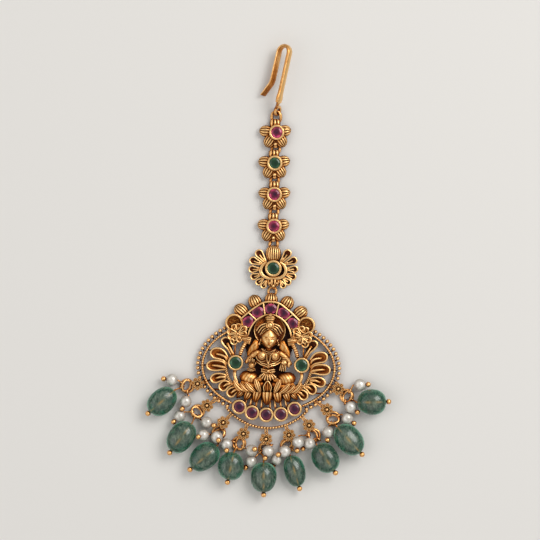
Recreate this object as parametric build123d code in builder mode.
"""Maang tikka: a forehead ornament of gilt openwork, laid flat on its back.

Millimetres. +X is to the wearer's left, +Y towards the hair hook and +Z up from the
surface that the ornament lies on. The origin is the middle of its footprint.

From the top: a ribbon hair hook, four flower links, a lotus rosette, the main pendant
with a seated goddess between two fans of wire petals, and nine drops round its lower rim,
each a jump ring with two pearls and one tumbled stone bead on ball-headed pins.
"""
import os
from math import atan2, cos, degrees, radians, sin
from typing import NamedTuple

from build123d import *

# ---------------------------------------------------------------- driving sizes
STONE_GAP = 0.08            # between a stone and its setting
DRILL_GAP = 0.10            # between a pin's wire and the hole it passes through

RIBBON_WIDE, RIBBON_THICK = 1.8, 0.7
HOOK_ROLL = 40              # degrees that the hook's bend is rolled out of the flat
HOOK_LEAN = 12.5            # degrees that its legs lean to the right
LEG_APART, LEG_LONG = 3.65, 8.3             # the legs' spacing, and the back leg down to its kink
TIP_LONG, TIP_OUT = 4.1, 2.3                # the flared tip below that kink
FRONT_LONG = 13.6           # the front leg
HOOK_EYE = (2.2, 43.1, 1.35)                # middle of the wire eye at the front leg's foot
HOOK_EYE_R, HOOK_WIRE = 1.0, 0.32

LINK_BEZEL, LINK_STONE = 2.1, 1.54          # radii
LINK_TOP = 2.9
RING_WIRE = 0.3             # radius of the chain rings' and drop rings' wire
RING_Z = 0.8                # height of the chain rings
EYE_GAP = 0.28              # between a chain ring and the lug it passes through
LUG_HALF, LUG_WALL, LUG_TOP = 0.40, 0.3, 1.6  # those lugs: half width, wall and height
POCKET = 1.2                # depth of a bezel's pocket
GIRDLE, CROWN = 1.0, 0.4    # height of a stone's straight side and of its sloped crown
CHAIN_RING_WIDE = 2.16      # across a chain ring, wire centre to wire centre
HOOK_RING_WIDE = 2.5        # across the ring that hangs from the hook

PENDANT_X, PENDANT_Y, PENDANT_TURN = -0.16, -25.46, -2.3
OPENWORK_TOP = 2.2
RIM_A, RIM_B, RIM_DOWN = 17.85, 11.9, 0.65  # half axes of the oval rim and its drop
ROPE = 0.9                  # width of the rope rims
GRANULE, GRANULE_OUT = 0.45, 1.25           # the balls outside the rim: radius and distance out
CRESCENT_R, CRESCENT_DOWN, CRESCENT_WIRE = 14.3, 2.75, 0.7

PEARL_R = 1.55
BALL_R = 0.72
PIN_R = 0.22
PIN_EYE_R = 0.70            # centre line of the eye bent at a pin's end
DROP_RING_R, DROP_RING_Z = 1.6, 0.93
FLOWER_R, FLOWER_BASE, FLOWER_TOP = 1.73, 1.45, 2.3
BEAD_FLATNESS = 0.80        # a bead's thickness over its width
BEAD_SINK = 0.08            # how far a ball head sits into the mouth of its bead's hole


class Seat(NamedTuple):
    """A link or rosette: its place, the turn of its own axes, and its two ring eyes."""

    name: str
    x: float
    y: float
    turn: float
    eye_up: float
    eye_down: float


LINKS = [
    Seat("flower_link_1", 2.03, 37.31, 1.0, 2.60, -3.35),
    Seat("flower_link_2", 1.51, 29.05, 1.5, 2.60, -3.35),
    Seat("flower_link_3", 1.40, 20.57, 0.5, 2.60, -3.35),
    Seat("flower_link_4", 1.30, 11.99, 0.5, 2.60, -3.35),
]
ROSETTE = Seat("rosette_link", 1.11, 0.62, 0.0, 5.05, -5.05)
PENDANT_EYE = 18.75         # from the pendant's centre up to the ring eye in its top petal


class Hung(NamedTuple):
    """A pearl on its pin: its centre, and the way from the eye to the ball head."""

    x: float
    y: float
    z: float
    heading: float
    lift: float


class Bead(NamedTuple):
    """A tumbled bead on its pin: its middle, heading, lift, length and width."""

    x: float
    y: float
    heading: float
    lift: float
    length: float
    width: float


class Drop(NamedTuple):
    """One drop: its flower in the pendant's axes, its ring, and where three eyes hang."""

    flower: tuple
    ring: tuple
    eyes: tuple
    pearl_a: Hung
    pearl_b: Hung
    bead: Bead


DROPS = [
    Drop((-18.98, -5.85), (-22.14, -31.13), (150, 272, 196), Hung(-26.28, -29.46, 1.65, 173, 8),
         Hung(-22.54, -35.31, 1.85, 244, 18), Bead(-28.90, -35.18, 221, 2, 8.8, 6.9)),
    Drop((-16.20, -11.60), (-19.37, -38.03), (183, 290, 244), Hung(-24.19, -39.32, 1.57, 222, 18),
         Hung(-16.90, -40.98, 1.67, 337, 22), Bead(-23.68, -44.89, 233, 2, 9.2, 7.2)),
    Drop((-11.62, -16.02), (-13.68, -43.82), (192, 239, 277), Hung(-17.81, -44.34, 2.65, 198, 53),
         Hung(-14.11, -44.87, 3.57, 303, 67), Bead(-17.49, -50.25, 221, 2, 9.0, 7.0)),
    Drop((-6.05, -18.85), (-8.18, -46.71), (160, 323, 238), Hung(-11.48, -46.84, 2.35, 270, 45),
         Hung(-4.76, -48.47, 2.94, 27, 66), Bead(-10.32, -52.71, 258, 2, 7.6, 7.1)),
    Drop((0.10, -20.00), (-1.03, -48.19), (213, 32, 252), Hung(-4.84, -51.53, 1.56, 228, -8),
         Hung(-0.25, -48.71, 2.91, 245, 26), Bead(-1.50, -55.71, 270, -3, 8.2, 7.3)),
    Drop((6.25, -18.67), (4.87, -47.27), (227, 321, 283), Hung(1.99, -50.91, 1.57, 243, -21),
         Hung(4.21, -48.70, 3.52, 206, 29), Bead(6.84, -54.06, 286, 0, 8.6, 5.8)),
    Drop((11.55, -15.85), (12.02, -44.48), (179, 323, 286), Hung(7.80, -46.23, 3.78, 263, 7),
         Hung(10.83, -46.60, 2.71, 219, -6), Bead(15.18, -50.49, 304, 6, 8.4, 7.3)),
    Drop((16.20, -11.40), (17.27, -39.90), (244, 28, 292), Hung(15.92, -43.63, 1.60, 265, 21),
         Hung(21.11, -39.92, 1.62, 324, 17), Bead(21.48, -45.59, 312, 1, 9.4, 7.0)),
    Drop((19.05, -5.70), (20.94, -33.89), (255, 57, 329), Hung(21.96, -36.85, 2.16, 324, 1),
         Hung(24.48, -30.85, 1.55, 3, 4), Bead(27.68, -35.39, 1, 3, 7.8, 7.1)),
]

# Settings of the pendant in its own axes: centre, bezel radius, stone radius, height.
GREEN_SETTINGS = [(-8.93, 0.28), (8.93, 0.28)]
GREEN_BEZEL, GREEN_STONE, GREEN_TOP = 2.13, 1.66, 3.4
BASE_SETTINGS = [(-7.47, -11.6), (-3.97, -13.02), (-0.1, -13.44), (3.82, -13.14), (7.46, -11.56)]
BASE_BEZEL, BASE_STONE, BASE_TOP = 2.02, 1.5, 3.1
ARCH_OUT, ARCH_OUT_UP = 8.5, 8.6            # the arch's outer wire and its centre
ARCH_IN, ARCH_IN_UP = 6.75, 6.7             # the inner wire and its centre
ARCH_STONE, ARCH_TOP = 1.3, 2.8
ARCH_STONES = [(-6.12, 11.40), (-3.52, 14.15), (0.0, 15.20), (3.52, 14.15), (6.12, 11.40)]

# Wire petals of the right-hand fan: middle, half length, half width, heading.
FAN_PETALS = [
    (11.35, 4.35, 2.55, 1.05, 60), (13.45, 2.45, 2.75, 1.25, 24), (14.25, -0.55, 2.70, 1.25, -6),
    (13.40, -3.15, 2.45, 1.10, -28), (11.75, -5.60, 2.00, 1.10, -50), (9.90, -7.35, 1.75, 1.10, -75),
]
# Ribbed petals round the arch: centre and heading from straight up.
ARCH_PETALS = [(-8.2, 14.55, 52), (-4.4, 17.15, 27), (4.4, 17.15, -27), (8.2, 14.55, -52)]


def place(x: float, y: float, turn: float) -> Plane:
    """A flat plane at (x, y), its own axes turned by turn degrees."""
    return Plane(origin=(x, y, 0), x_dir=(cos(radians(turn)), sin(radians(turn)), 0), z_dir=(0, 0, 1))


def spot(plane: Plane, u: float, v: float, z: float = 0.0) -> Vector:
    """The point at (u, v, z) of a flat plane."""
    return plane.from_local_coords(Vector(u, v, z))


def heading_vector(heading: float, lift: float) -> Vector:
    """A unit vector at a compass heading from +X, lifted above the flat."""
    flat = cos(radians(lift))
    return Vector(cos(radians(heading)) * flat, sin(radians(heading)) * flat, sin(radians(lift)))


def rod(start: Vector, end: Vector, radius: float, mode: Mode = Mode.ADD) -> None:
    """Add a round rod between two points to the part that is open."""
    with Locations(Plane(origin=start, z_dir=end - start)):
        Cylinder(radius, (end - start).length, align=(Align.CENTER, Align.CENTER, Align.MIN), mode=mode)


def standing_ring(centre: Vector, heading: float, radius: float, wire: float) -> None:
    """Add a ring that stands upright, its plane along a heading."""
    across = heading_vector(heading + 90, 0)
    with Locations(Plane(origin=centre, z_dir=across)):
        Torus(radius, wire)


pendant = place(PENDANT_X, PENDANT_Y, PENDANT_TURN)


# ---------------------------------------------------------------- hair hook
hook_up = Vector(sin(radians(HOOK_LEAN)), cos(radians(HOOK_LEAN)), 0)
hook_flat = Vector(cos(radians(HOOK_LEAN)), -sin(radians(HOOK_LEAN)), 0)
hook_across = hook_flat * cos(radians(HOOK_ROLL)) + Vector(0, 0, sin(radians(HOOK_ROLL)))
hook_face = hook_across.cross(hook_up)
# The bend's plane: its x runs from the back leg to the front one, its y up the legs.
bend = Plane(origin=Vector(4.02, 58.7, 3.55), x_dir=hook_across, z_dir=hook_face)

with BuildPart() as hair_hook:
    with BuildSketch(bend.offset(-RIBBON_WIDE / 2)):
        with BuildLine() as ribbon:
            tip = Line((-LEG_APART / 2 - TIP_OUT, -LEG_LONG - TIP_LONG), (-LEG_APART / 2 - 0.25, -LEG_LONG))
            back = Line(tip @ 1, (-LEG_APART / 2, -1.0))
            bend_arc = ThreePointArc(back @ 1, (0, LEG_APART / 2), (LEG_APART / 2, 0))
            front = Line(bend_arc @ 1, (LEG_APART / 2, -FRONT_LONG))
        trace(line_width=RIBBON_THICK)
    extrude(amount=RIBBON_WIDE)
    foot = bend.from_local_coords(Vector(LEG_APART / 2, -FRONT_LONG + 0.2, 0))
    eye_plane = Plane(origin=HOOK_EYE, x_dir=(0.30, 0.80, 0), z_dir=(0.80, -0.30, 0.52))
    to_foot = foot - eye_plane.origin
    in_plane = (to_foot - eye_plane.z_dir * to_foot.dot(eye_plane.z_dir)).normalized()
    with Locations(eye_plane):
        Torus(HOOK_EYE_R, HOOK_WIRE)
    rod(foot, eye_plane.origin + in_plane * HOOK_EYE_R, HOOK_WIRE * 0.95)
hair_hook.part.label = "hair_hook"


# ---------------------------------------------------------------- links and rosette
def ring_eye(plane: Plane, along: float) -> None:
    """Add a lug with a sideways hole for a ring: it stands on the ground at v = along."""
    hole = RING_WIRE + EYE_GAP
    with Locations(plane.location * Location((0, along, 0))):
        Box(2 * LUG_HALF, 2 * (hole + LUG_WALL), LUG_TOP, align=(Align.CENTER, Align.CENTER, Align.MIN))
    rod(spot(plane, -LUG_HALF - 1, along, RING_Z), spot(plane, LUG_HALF + 1, along, RING_Z),
        hole, mode=Mode.SUBTRACT)


def bezel(plane: Plane, u: float, v: float, radius: float, stone: float, top: float) -> None:
    """Add a round bezel cup: a wall to top, and a floor POCKET under its lip."""
    with Locations(plane.location * Location((u, v, 0))):
        Cylinder(radius, top, align=(Align.CENTER, Align.CENTER, Align.MIN))
    with Locations(plane.location * Location((u, v, top))):
        Cylinder(stone + STONE_GAP, POCKET, align=(Align.CENTER, Align.CENTER, Align.MAX),
                 mode=Mode.SUBTRACT)


def make_link(seat: Seat) -> Part:
    """A flower link: bezel, two side petals, two lower petals and a ribbed top block."""
    plane = place(seat.x, seat.y, seat.turn)
    with BuildPart() as link:
        with BuildSketch(plane.offset(1.35)):
            with Locations((-2.75, 0.1), (2.75, 0.1)):
                Ellipse(1.35, 1.15)
            with Locations(Location((-1.85, -2.45, 0), (0, 0, 55)), Location((1.85, -2.45, 0), (0, 0, -55))):
                Ellipse(1.6, 1.2)
            with Locations((0, 2.35)):
                Rectangle(2.8, 1.7)
            with Locations((0, -2.9)):
                Circle(0.8)
        extrude(amount=0.9)
        ring_eye(plane, seat.eye_up)
        ring_eye(plane, seat.eye_down)
        bezel(plane, 0, 0, LINK_BEZEL, LINK_STONE, LINK_TOP)
    return link.part


def make_stone(plane: Plane, spots: list, radius: float, top: float) -> Part:
    """Round stones in their bezels: a girdle, and a low crown above the bezel's lip."""
    with BuildPart() as stone:
        for u, v in spots:
            with Locations(plane.location * Location((u, v, top - POCKET + STONE_GAP))):
                Cylinder(radius, GIRDLE, align=(Align.CENTER, Align.CENTER, Align.MIN))
            with Locations(plane.location * Location((u, v, top - POCKET + STONE_GAP + GIRDLE))):
                Cone(radius, radius - CROWN, CROWN, align=(Align.CENTER, Align.CENTER, Align.MIN))
    return stone.part


links = [make_link(seat) for seat in LINKS]
link_stones = [make_stone(place(s.x, s.y, s.turn), [(0, 0)], LINK_STONE, LINK_TOP) for s in LINKS]
for number, (link, stone) in enumerate(zip(links, link_stones), start=1):
    link.label = f"flower_link_{number}"
    stone.label = f"link_stone_{number}"

rosette_plane = place(ROSETTE.x, ROSETTE.y, ROSETTE.turn)
ROSETTE_BEZEL, ROSETTE_STONE, ROSETTE_TOP = 2.27, 1.64, 3.1
# Wire petals of the rosette's right side: middle, half length, half width, heading.
ROSETTE_PETALS = [
    (3.25, 3.35, 1.55, 0.95, 52), (4.75, 1.75, 1.35, 0.85, 22), (5.05, -0.25, 1.25, 0.85, 0),
    (4.65, -2.0, 1.15, 0.75, -22), (3.65, -3.45, 0.95, 0.7, -45), (2.45, -4.25, 0.85, 0.65, -62),
]


def wire_petal(u: float, v: float, half_long: float, half_wide: float, heading: float, wire: float) -> None:
    """Add one oval wire petal, with its raised vein, to the sketch that is open."""
    with Locations(Location((u, v, 0), (0, 0, heading))):
        Ellipse(half_long, half_wide)
        Ellipse(half_long - wire, half_wide - wire, mode=Mode.SUBTRACT)
        with Locations((-half_long * 0.3, 0)):
            Rectangle(half_long * 1.4, wire * 0.9)


def strut(start: tuple, end: tuple, wide: float) -> None:
    """Add a straight round-ended strip between two points to the sketch that is open."""
    (u0, v0), (u1, v1) = start, end
    run = Vector(u1 - u0, v1 - v0)
    with Locations(Location(((u0 + u1) / 2, (v0 + v1) / 2, 0), (0, 0, degrees(atan2(v1 - v0, u1 - u0))))):
        SlotCenterToCenter(run.length, wide)


def mirrored(petals: list) -> list:
    """The petals and their mirror images across the v axis."""
    return petals + [(-u, v, long, wide, 180 - heading) for u, v, long, wide, heading in petals]


with BuildPart() as rosette:
    with BuildSketch(rosette_plane.offset(0.3)):
        for petal in mirrored(ROSETTE_PETALS):
            wire_petal(*petal, wire=0.45)
            strut((petal[0] * 0.55, petal[1] * 0.5), petal[:2], 0.45)
        with Locations((0, -0.55)):
            Ellipse(4.0, 2.6)
            Ellipse(3.2, 1.85, mode=Mode.SUBTRACT)
        with Locations((0, 3.8)):
            Rectangle(3.9, 3.6)
        with Locations((0, -4.3)):
            Ellipse(1.9, 1.1)
        with Locations((0, -3.0)):
            Rectangle(3.4, 1.2)
    extrude(amount=1.7)
    with BuildSketch(rosette_plane.offset(1.9)):
        with Locations((0, 4.0)):
            Ellipse(1.9, 1.65)
    extrude(amount=0.6)
    with BuildSketch(rosette_plane):
        for end in (ROSETTE.eye_up, ROSETTE.eye_down):
            with Locations((0, end)):
                Rectangle(4.4, 1.5)
    extrude(amount=1.4, mode=Mode.SUBTRACT)
    ring_eye(rosette_plane, ROSETTE.eye_up)
    ring_eye(rosette_plane, ROSETTE.eye_down)
    bezel(rosette_plane, 0, 0, ROSETTE_BEZEL, ROSETTE_STONE, ROSETTE_TOP)
rosette.part.label = "rosette_link"
rosette_stone = make_stone(rosette_plane, [(0, 0)], ROSETTE_STONE, ROSETTE_TOP)
rosette_stone.label = "rosette_stone"


# ---------------------------------------------------------------- chain rings
def make_oval_ring(start: Vector, end: Vector, wide: float, wire: float) -> Part:
    """A flat oval ring whose end bars are centred on start and end."""
    run = end - start
    plane = Plane(origin=(start + end) / 2, x_dir=run, z_dir=run.cross(Vector(0, 0, 1)).cross(run))
    straight = max(run.length - wide, 0.05)
    with BuildPart() as ring:
        with BuildLine(plane):
            right = Line((-straight / 2, -wide / 2), (straight / 2, -wide / 2))
            far = ThreePointArc(right @ 1, (straight / 2 + wide / 2, 0), (straight / 2, wide / 2))
            left = Line(far @ 1, (-straight / 2, wide / 2))
            ThreePointArc(left @ 1, (-straight / 2 - wide / 2, 0), right @ 0)
        start_corner = plane.from_local_coords(Vector(-straight / 2, -wide / 2, 0))
        with BuildSketch(Plane(origin=start_corner, z_dir=run)):
            Circle(wire)
        sweep()
    return ring.part


seats = LINKS + [ROSETTE]
chain_rings = []
for number, seat in enumerate(seats, start=1):
    start = spot(place(seat.x, seat.y, seat.turn), 0, seat.eye_down, RING_Z)
    if number < len(seats):
        below = seats[number]
        end = spot(place(below.x, below.y, below.turn), 0, below.eye_up, RING_Z)
    else:
        end = spot(pendant, 0, PENDANT_EYE, RING_Z)
    ring = make_oval_ring(start, end, CHAIN_RING_WIDE, RING_WIRE)
    ring.label = f"chain_ring_{number}"
    chain_rings.append(ring)

# The first ring hangs from the hook's eye and holds the first link.
top_eye = spot(place(LINKS[0].x, LINKS[0].y, LINKS[0].turn), 0, LINKS[0].eye_up, RING_Z)
hook_ring = make_oval_ring(top_eye, Vector(HOOK_EYE) - Vector(0.35, 0, 0.05), HOOK_RING_WIDE, RING_WIRE)
hook_ring.label = "hook_ring"


# ---------------------------------------------------------------- pendant casting
FIGURE_U = -0.2             # the goddess sits a little left of the pendant's middle
WIRE = 0.5                  # width of the plain wires
CIRCLES = [(-9.9, 10.9), (9.9, 10.9)]
CIRCLE_R = 2.25
LOTUSES = [(-8.95, 8.45), (8.95, 8.45)]


def rim_point(angle: float, out: float = 0.0) -> tuple:
    """The point of the oval rim at an angle, moved outwards by out."""
    a, b = RIM_A * cos(radians(angle)), RIM_B * sin(radians(angle))
    nx, ny = a / RIM_A**2, b / RIM_B**2
    size = (nx * nx + ny * ny) ** 0.5
    return a + out * nx / size, b + out * ny / size - RIM_DOWN


granule_angles = range(-46, 47, 7)
granule_spots = [rim_point(angle + turn, GRANULE_OUT) for turn in (0, 180) for angle in granule_angles]

with BuildPart() as casting:
    # The oval rim, left and right of the middle, with its stubs for the granules.
    with BuildSketch(pendant):
        with Locations((0, -RIM_DOWN)):
            Ellipse(RIM_A + ROPE / 2, RIM_B + ROPE / 2)
            Ellipse(RIM_A - ROPE / 2, RIM_B - ROPE / 2, mode=Mode.SUBTRACT)
        Rectangle(20.4, 40, mode=Mode.SUBTRACT)
        with Locations(*granule_spots):
            Circle(GRANULE)
        for turn in (0, 180):
            for angle in granule_angles:
                strut(rim_point(angle + turn), rim_point(angle + turn, GRANULE_OUT), 0.35)
    extrude(amount=OPENWORK_TOP - 0.6)
    with BuildSketch(pendant.offset(OPENWORK_TOP - 0.9)):
        with Locations((0, -RIM_DOWN)):
            Ellipse(RIM_A + ROPE / 2, RIM_B + ROPE / 2)
            Ellipse(RIM_A - ROPE / 2, RIM_B - ROPE / 2, mode=Mode.SUBTRACT)
        Rectangle(20.4, 40, mode=Mode.SUBTRACT)
    extrude(amount=0.9)

    # The crescent line under the base settings, joined to the rim's ends.
    with BuildSketch(pendant):
        with Locations((0, -CRESCENT_DOWN)):
            Circle(CRESCENT_R + CRESCENT_WIRE / 2)
            Circle(CRESCENT_R - CRESCENT_WIRE / 2, mode=Mode.SUBTRACT)
        with Locations((0, 12)):
            Rectangle(60, 48, mode=Mode.SUBTRACT)
        for side in (-1, 1):
            strut((side * 10.4, -12.4), (side * 10.5, -10.2), 0.7)
            strut((side * 10.4, -12.4), (side * 8.6, -11.9), 0.7)
            strut((side * 10.5, -10.2), (side * 8.6, -11.2), 0.7)
        for u, v in BASE_SETTINGS[1:4]:
            strut((u, v), (u * 1.1, v - 3.6 + abs(u) * 0.14), 0.45)
    extrude(amount=OPENWORK_TOP - 0.5)

    # Fans of wire petals, the ropes inside them, and the stalks under the green settings.
    with BuildSketch(pendant.offset(0.4)):
        for petal in mirrored(FAN_PETALS):
            wire_petal(*petal, wire=WIRE)
    extrude(amount=OPENWORK_TOP - 0.4)
    with BuildSketch(pendant):
        for side in (-1, 1):
            for start, end in (((11.2, 0.2), (11.3, -2.9)), ((11.3, -2.9), (10.2, -5.0)),
                               ((10.2, -5.0), (8.4, -6.9)), ((8.4, -6.9), (7.9, -10.0)),
                               ((8.93, -1.5), (9.1, -3.6)), ((9.1, -3.6), (8.2, -5.4)),
                               ((11.1, 0.4), (9.5, 0.4)), ((9.3, 0.9), (10.7, 3.3))):
                strut((side * start[0], start[1]), (side * end[0], end[1]), 0.75)
            # Low bridges from the petal tips to the rim.
            for tip, angle in (((12.3, 6.1), 44), ((15.9, 3.5), 20), ((16.8, -0.8), 0),
                               ((15.5, -4.25), -19), ((13.0, -7.1), -34), ((10.4, -8.9), -49)):
                u, v = rim_point(angle)
                strut((side * tip[0], tip[1]), (side * u, v), 0.5)
    extrude(amount=1.0)

    # The arch: two wires, five cells with their bars, and the ribbed petals round it.
    with BuildSketch(pendant):
        with Locations((0, ARCH_OUT_UP)):
            Circle(ARCH_OUT + WIRE / 2)
        with Locations((0, ARCH_IN_UP)):
            Circle(ARCH_IN - WIRE / 2, mode=Mode.SUBTRACT)
        with Locations((0, -1.6)):
            Rectangle(40, 20, mode=Mode.SUBTRACT)
        with Locations((-13.4, 6.0), (13.4, 6.0)):
            Rectangle(10.4, 12, mode=Mode.SUBTRACT)
    extrude(amount=ARCH_TOP)
    with BuildSketch(pendant.offset(0.6)):
        for u, v, turn in ARCH_PETALS:
            with Locations(Location((u, v, 0), (0, 0, turn))):
                Ellipse(1.55, 1.75)
    extrude(amount=2.2)
    with BuildSketch(pendant.offset(1.45)):
        with Locations((0, 17.85)):
            Ellipse(1.75, 1.85)
    extrude(amount=1.3)
    with Locations(pendant.location * Location((0, 17.2, 0))):
        Box(2 * LUG_HALF, 2.0, LUG_TOP, align=(Align.CENTER, Align.CENTER, Align.MIN))
    ring_eye(pendant, PENDANT_EYE)

    # Wire circles and lotus flowers at the shoulders.
    with BuildSketch(pendant):
        for u, v in CIRCLES:
            with Locations((u, v)):
                Circle(CIRCLE_R)
                Circle(CIRCLE_R - WIRE, mode=Mode.SUBTRACT)
                Rectangle(WIRE, 2 * CIRCLE_R - WIRE)
    extrude(amount=OPENWORK_TOP)
    with BuildSketch(pendant):
        for u, v in LOTUSES:
            with Locations((u, v)):
                with PolarLocations(1.35, 5, start_angle=90):
                    Circle(0.98)
                Circle(0.9)
        for side in (-1, 1):
            strut((side * 8.9, 8.3), (side * 11.6, 8.2), 0.9)
            strut((side * 8.9, 8.3), (side * 6.7, 8.0), 0.9)
            strut((side * 8.95, 7.4), (side * 8.93, 1.5), 0.6)
    extrude(amount=3.0)

    # The goddess: lotus seat, crossed legs, torso, four arms, head with crown, and halo.
    with BuildSketch(pendant):
        with Locations((FIGURE_U, -5.0)):
            Ellipse(9.1, 5.3)
        with Locations((0, 1.0)):
            Rectangle(30, 11.8, mode=Mode.SUBTRACT)
        with Locations((0, -9.6)):
            Rectangle(9.4, 2.4)
    extrude(amount=2.7)
    with BuildSketch(pendant):
        with Locations((FIGURE_U, -3.5)):
            SlotOverall(14.6, 4.4)
    extrude(amount=3.7)
    with BuildSketch(pendant):
        with Locations((FIGURE_U, -1.7)):
            Rectangle(5.6, 3.0)
        with Locations((FIGURE_U, 1.9)):
            Ellipse(4.3, 2.7)
    extrude(amount=4.1)
    with BuildSketch(pendant.offset(0.5)):
        for side in (-1, 1):
            shoulder, wrist = (FIGURE_U + side * 3.4, 3.4), (side * 6.9, 5.4)
            strut(shoulder, (side * 5.3, 4.6), 2.2)
            strut((side * 5.3, 4.6), wrist, 1.5)
            strut(wrist, (side * 7.6, 7.4), 1.2)
            strut(shoulder, (side * 6.2, 0.9), 1.5)
            strut((side * 6.2, 0.9), (side * 4.9, 0.2), 2.2)
            strut((side * 5.0, 0.0), (side * 5.0, -3.0), 1.2)
    extrude(amount=2.9)
    with BuildSketch(pendant):
        with Locations((FIGURE_U, 9.3)):
            Ellipse(4.1, 4.2)
        with Locations((FIGURE_U, 5.6)):
            Rectangle(2.6, 4.0)
    extrude(amount=2.1)
    with Locations(pendant.location * Location((FIGURE_U, 7.5, 2.9))):
        Sphere(2.3)
    with Locations(pendant.location * Location((FIGURE_U, 10.6, 1.0))):
        Cylinder(1.6, 3.2, align=(Align.CENTER, Align.CENTER, Align.MIN))
    with Locations(pendant.location * Location((FIGURE_U, 12.3, 1.0))):
        Cylinder(1.0, 2.4, align=(Align.CENTER, Align.CENTER, Align.MIN))

    # Small bars between the seat and the base settings.
    with BuildSketch(pendant.offset(0.5)):
        for u in (-5.4, -3.9, -2.4, -0.9, 0.6, 2.1, 3.6, 5.1):
            strut((u, -9.4), (u * 1.12, -11.7), 0.45)
    extrude(amount=1.5)
    with Locations(*[pendant.location * Location((u, v, ARCH_TOP - POCKET)) for u, v in ARCH_STONES]):
        Cylinder(ARCH_STONE + STONE_GAP, 2 * POCKET, align=(Align.CENTER, Align.CENTER, Align.MIN),
                 mode=Mode.SUBTRACT)
    for u, v in GREEN_SETTINGS:
        bezel(pendant, u, v, GREEN_BEZEL, GREEN_STONE, GREEN_TOP)
    for u, v in BASE_SETTINGS:
        bezel(pendant, u, v, BASE_BEZEL, BASE_STONE, BASE_TOP)

    # Nine filigree flowers on stems outside the rim, each with an eye for its drop.
    with BuildSketch(pendant.offset(FLOWER_BASE)):
        for drop in DROPS:
            with Locations(drop.flower):
                with PolarLocations(FLOWER_R - 0.5, 8):
                    Circle(0.5)
                Circle(FLOWER_R - 0.55)
    extrude(amount=FLOWER_TOP - FLOWER_BASE)
    with BuildSketch(pendant.offset(0.7)):
        for drop in DROPS:
            u, v = drop.flower
            if abs(u) > 13:
                inner = rim_point(degrees(atan2((v + RIM_DOWN) / RIM_B, u / RIM_A)))
            else:
                size = (u * u + (v + CRESCENT_DOWN) ** 2) ** 0.5
                inner = (u * CRESCENT_R / size, (v + CRESCENT_DOWN) * CRESCENT_R / size - CRESCENT_DOWN)
            reach = ((u - inner[0]) ** 2 + (v - inner[1]) ** 2) ** 0.5
            near = 1 - (FLOWER_R - 0.6) / reach
            strut(inner, (inner[0] + (u - inner[0]) * near, inner[1] + (v - inner[1]) * near), 0.7)
    extrude(amount=1.0)
    for drop in DROPS:
        centre = spot(pendant, *drop.flower, FLOWER_TOP - 0.1)
        with Locations(centre):
            Sphere(0.62)
        ring = Vector(drop.ring[0], drop.ring[1], DROP_RING_Z)
        towards = (Vector(centre.X, centre.Y, DROP_RING_Z) - ring).normalized()
        lug = ring + towards * DROP_RING_R
        standing_ring(lug, degrees(atan2(towards.Y, towards.X)), 0.62, PIN_R)
casting.part.label = "pendant_casting"

arch_stones = make_stone(pendant, ARCH_STONES, ARCH_STONE, ARCH_TOP)
arch_stones.label = "arch_stones"
side_stones = [make_stone(pendant, [where], GREEN_STONE, GREEN_TOP) for where in GREEN_SETTINGS]
side_stones[0].label = "side_stone_left"
side_stones[1].label = "side_stone_right"
base_stones = make_stone(pendant, BASE_SETTINGS, BASE_STONE, BASE_TOP)
base_stones.label = "base_stones"


# ---------------------------------------------------------------- drops
def make_pearls(drop: Drop) -> Part:
    """The two drilled pearls of a drop."""
    with BuildPart() as pearls:
        for hung in (drop.pearl_a, drop.pearl_b):
            centre = Vector(hung.x, hung.y, hung.z)
            along = heading_vector(hung.heading, hung.lift)
            with Locations(Plane(origin=centre, z_dir=along)):
                Sphere(PEARL_R)
                Cylinder(PIN_R + DRILL_GAP, 2 * PEARL_R, mode=Mode.SUBTRACT)
    return pearls.part


def make_bead(bead: Bead) -> Part:
    """A tumbled bead: an egg turned about its drill hole, then flattened."""
    half, wide, hole = bead.length / 2, bead.width / 2, PIN_R + 2 * DRILL_GAP
    with BuildPart() as egg:
        with BuildSketch():
            Ellipse(half, wide)
            with Locations((0, hole / 2 - wide)):
                Rectangle(2 * half, hole + 2 * wide, mode=Mode.SUBTRACT)
        revolve(axis=Axis.X)
    flat = scale(egg.part, by=(1, 1, BEAD_FLATNESS))
    turned = Location((0, 0, 0), (0, 0, bead.heading)) * Location((0, 0, 0), (0, -bead.lift, 0))
    return Location((bead.x, bead.y, wide * BEAD_FLATNESS)) * turned * flat


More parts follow.
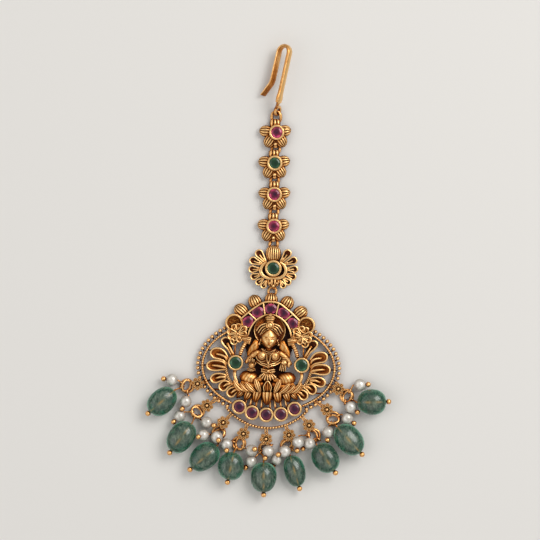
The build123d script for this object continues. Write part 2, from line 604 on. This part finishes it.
def add_pin(ring: Vector, eye_angle: float, centre: Vector, along: Vector, half: float,
            ball_out: float) -> None:
    """Add one ball-headed pin: ball, shaft through the bead, neck, and an eye round the ring."""
    ball = centre + along * (half + ball_out)
    outlet = centre - along * (half + 0.27)
    radial = heading_vector(eye_angle, 0)
    eye = ring + radial * DROP_RING_R
    reach = outlet - eye
    tip_angle = degrees(atan2(reach.Z, reach.dot(radial)))
    rim = eye + heading_vector(eye_angle, tip_angle) * PIN_EYE_R
    with Locations(Plane(origin=ball, z_dir=along)):
        Sphere(BALL_R)
    rod(outlet - along * 0.12, ball, PIN_R)
    rod(outlet + (outlet - rim).normalized() * 0.1, rim, PIN_R * 0.9)
    standing_ring(eye, eye_angle, PIN_EYE_R, PIN_R)


def make_pins(drop: Drop) -> Part:
    """The three ball-headed pins of a drop."""
    ring = Vector(drop.ring[0], drop.ring[1], DROP_RING_Z)
    bead = drop.bead
    with BuildPart() as pins:
        for hung, eye in zip((drop.pearl_a, drop.pearl_b), drop.eyes):
            add_pin(ring, eye, Vector(hung.x, hung.y, hung.z),
                    heading_vector(hung.heading, hung.lift), PEARL_R, BALL_R)
        add_pin(ring, drop.eyes[2], Vector(bead.x, bead.y, bead.width * BEAD_FLATNESS / 2),
                heading_vector(bead.heading, bead.lift), bead.length / 2, BALL_R - BEAD_SINK)
    return pins.part


def make_drop_ring(drop: Drop) -> Part:
    """The jump ring that a drop hangs from, lying flat."""
    with BuildPart() as ring:
        with Locations((drop.ring[0], drop.ring[1], DROP_RING_Z)):
            Torus(DROP_RING_R, RING_WIRE)
    return ring.part


drop_pieces = []
for number, drop in enumerate(DROPS, start=1):
    for make, name in ((make_drop_ring, "drop_ring"), (make_pins, "drop_pins"), (make_pearls, "pearls")):
        piece = make(drop)
        piece.label = f"{name}_{number}"
        drop_pieces.append(piece)
    piece = make_bead(drop.bead)
    piece.label = f"bead_{number}"
    drop_pieces.append(piece)


# ---------------------------------------------------------------- files
pieces = [hair_hook.part, hook_ring, *chain_rings, *links, *link_stones, rosette.part, rosette_stone,
          casting.part, arch_stones, *side_stones, base_stones, *drop_pieces]
whole = Compound(pieces).bounding_box()
to_middle = Location((-whole.center().X, -whole.center().Y, -whole.min.Z))
os.makedirs("parts", exist_ok=True)
for piece in pieces:
    export_step(piece.moved(to_middle), f"parts/{piece.label}.step")
print("pieces", len(pieces), "size", whole.size, "moved by", to_middle.position)
